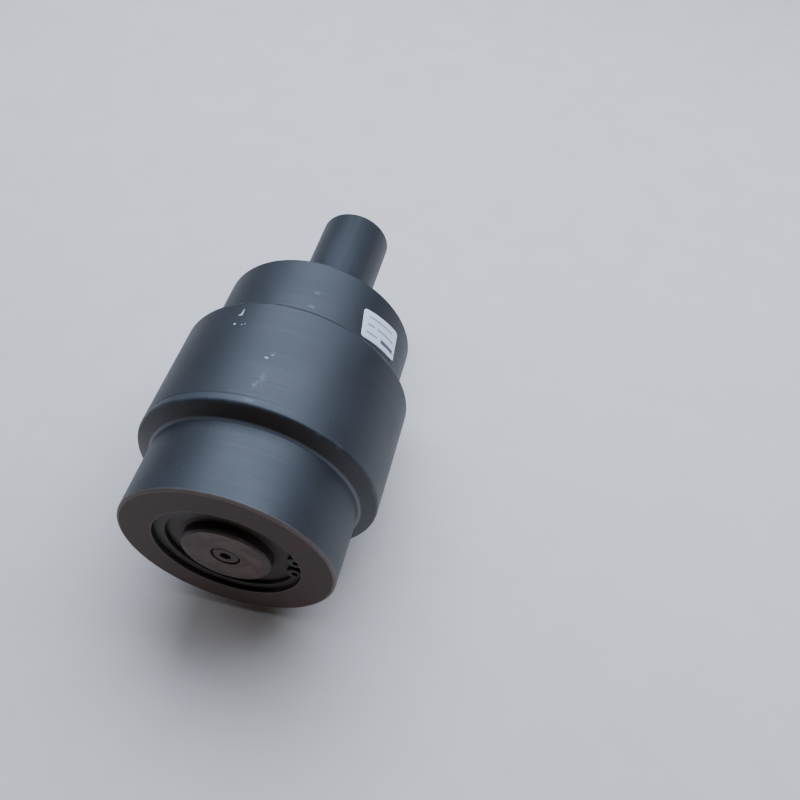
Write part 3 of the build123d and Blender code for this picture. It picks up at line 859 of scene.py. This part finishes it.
def stand_for(piece, node):
    """Lets a new piece stand for a CAD node, on the same body."""
    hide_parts(node)
    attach(piece, node_bodies[node])


for piece, node in (
    (shell, "shell"), (cover_plate, "end_cover"), (shaft, "shaft"),
    (collar, "seal_collar"), (circlip, "retaining_ring"), (plug, "oil_plug"), (label, "label"),
):
    stand_for(piece, node)
    print(piece.name, "stands for", node, "on", node_bodies[node])

# %% [markdown]
# ## The pieces inside
# The bushings, seals, thrust plate and bolts are hidden once the roller is closed. The CAD
# shapes them as such rollers are usually built, and they keep those shapes. Each gets the
# finish that is usual for its metal or rubber, since nothing of them can be seen.

# %% Finishes for the CAD nodes that stay
inside = {
    # Oil on a turned face: a clean mid-grey that mirrors softly, ring by ring.
    "plain_steel": finish(
        "turned_oiled_steel", "#a9aaab", "#8f9091", metallic=1.0,
        roughness=0.32, spread=0.06, marks=(0.8, 0.006), grain=(0.5, 0.003),
    ),
    # Heat-blackened steel: charcoal, with some of the metal's own sheen left.
    "bolt_steel": finish(
        "blackened_bolt_steel", "#3a3a3b", "#4a4a4b", metallic=0.8,
        roughness=0.42, spread=0.06, marks=(1.0, 0.004), grain=(0.6, 0.006),
    ),
    # Lapping leaves the smoothest metal here: a grey, slightly warm, soft mirror.
    "seal_iron": finish(
        "lapped_chilled_iron", "#8e8c89", "#797673", metallic=1.0,
        roughness=0.28, spread=0.08, marks=(0.6, 0.002), grain=(1.0, 0.004),
    ),
    # Bored bronze: warm yellow, with the boring tool's rings standing out.
    "bushing_bronze": finish(
        "bored_bearing_bronze", "#b98d4f", "#a67a42", metallic=1.0,
        roughness=0.34, spread=0.07, marks=(0.7, 0.008), grain=(0.6, 0.003),
    ),
    # Annealing dulls copper: a pinkish red without a hard highlight.
    "gasket_copper": finish(
        "annealed_copper", "#c27a5a", "#9c5f47", metallic=1.0,
        roughness=0.38, spread=0.08, marks=(0.8, 0.004), grain=(0.6, 0.005),
    ),
    # Moulded rubber: nearly black, with a faint, broad sheen.
    "nitrile_rubber": finish(
        "black_nitrile_rubber", "#161617", "#1f1f20", metallic=0.0,
        roughness=0.58, spread=0.08, marks=(2.0, 0.004), grain=(0.4, 0.008),
    ),
}
for name, node in frame["nodes"].items():
    if node_slots[name] in inside:
        node.data.materials[0] = inside[node_slots[name]]
print("inner pieces", sum(slot in inside for slot in node_slots.values()))

# %% [markdown]
# ## The studio floor
# The roller rests on its flange. The floor is matt and pale, and just warm enough to cancel the
# blue of the lights, so that it looks neutral beside the blue-grey paint.

# %% A plain pale floor
FLOOR_REACH = 4.0
corners = [(-1, -1), (1, -1), (1, 1), (-1, 1)]
floor_mesh = bpy.data.meshes.new("studio_floor")
floor_mesh.from_pydata(
    [(x * FLOOR_REACH, y * FLOOR_REACH, -flange_radius) for x, y in corners], [], [(0, 1, 2, 3)]
)
floor = show("studio_floor", floor_mesh)
# Matt wall paint: a pale, even ground with a soft shadow and no mirror image.
floor_paint = finish(
    "matt_pale_paint", "#f6e7d9", "#f8ebdf", metallic=0.0,
    roughness=0.7, spread=0.05, marks=(20, 0.01), grain=(4, 0.01),
)
floor_mesh.materials.append(floor_paint)
print("floor at", round(-flange_radius, 4))

# %% [markdown]
# ## The camera
# It looks down on the covered end from 44 cm away, close enough for the stub to shrink with
# distance. Its place is given from the middle of the front face. Its line of sight, taken
# backwards, has an azimuth from -Y towards +X and an elevation, in degrees.

# %% Camera
LENS = 36.05  # mm
CAMERA_FROM_FACE = Vector((0.1345, -0.1706, 0.3794))
CAMERA_AZIMUTH, CAMERA_ELEVATION = 13.39, 51.59


def direction(azimuth, elevation):
    """A unit vector at an azimuth from +Y towards +X, and an elevation, in degrees."""
    a, e = math.radians(azimuth), math.radians(elevation)
    return Vector((math.sin(a) * math.cos(e), math.cos(a) * math.cos(e), math.sin(e)))


def aimed(name, data, place, backwards):
    """An object at a place that looks along -backwards."""
    thing = show(name, data)
    thing.location = place
    thing.rotation_mode = "QUATERNION"
    thing.rotation_quaternion = backwards.to_track_quat("Z", "Y")
    return thing


camera_data = bpy.data.cameras.new("camera")
camera_data.lens = LENS
camera_place = Vector((0, front_face, 0)) + CAMERA_FROM_FACE
backwards = direction(180 - CAMERA_AZIMUTH, CAMERA_ELEVATION)
camera = aimed("camera", camera_data, camera_place, backwards)
bpy.context.scene.camera = camera
print("camera at", [round(c, 4) for c in camera.location])

# %% [markdown]
# ## The lights
# Black satin paint is mostly what it mirrors. One wide cool panel, high behind the roller, makes
# the broad sheen along its top. A weak panel on the left lifts that flank, a narrow strip
# overhead draws thin lines on rims and in fillets, and a weak warm card in front tints the
# covered end. The world adds almost nothing, so the undersides stay dark. The lights were
# placed by trial, together with the paint's colours and gloss, until both looked right.

# %% Soft lights
LAMPS = {
    # name: azimuth, elevation, distance, size, power, colour
    "sky_panel": (18, 62, 1.4, (2.2, 0.9), 44, "#cfe2ff"),
    "left_panel": (-62, 38, 1.3, (1.0, 1.0), 3, "#cfe2ff"),
    "overhead_strip": (0, 98, 1.3, (1.4, 0.16), 1.5, "#dbe8ff"),
    "warm_card": (180, 6, 1.2, (0.8, 0.8), 0.8, "#ffc799"),
}
LIT_POINT = Vector((0, -0.1, 0))  # inside the shell, near its middle
WORLD_STRENGTH = 0.03
for name, (azimuth, elevation, distance, size, power, code) in LAMPS.items():
    data = bpy.data.lights.new(name, "AREA")
    data.shape = "RECTANGLE"
    data.size, data.size_y = size
    data.energy = power
    data.color = colour(code)[:3]
    towards = direction(azimuth, elevation)
    aimed(name, data, LIT_POINT + towards * distance, towards)
world = bpy.data.worlds.new("studio")
bpy.context.scene.world = world
world.use_nodes = True
background = world.node_tree.nodes["Background"].inputs
background["Color"].default_value = colour("#e4ecf8")
background["Strength"].default_value = WORLD_STRENGTH
print("lights", list(LAMPS))
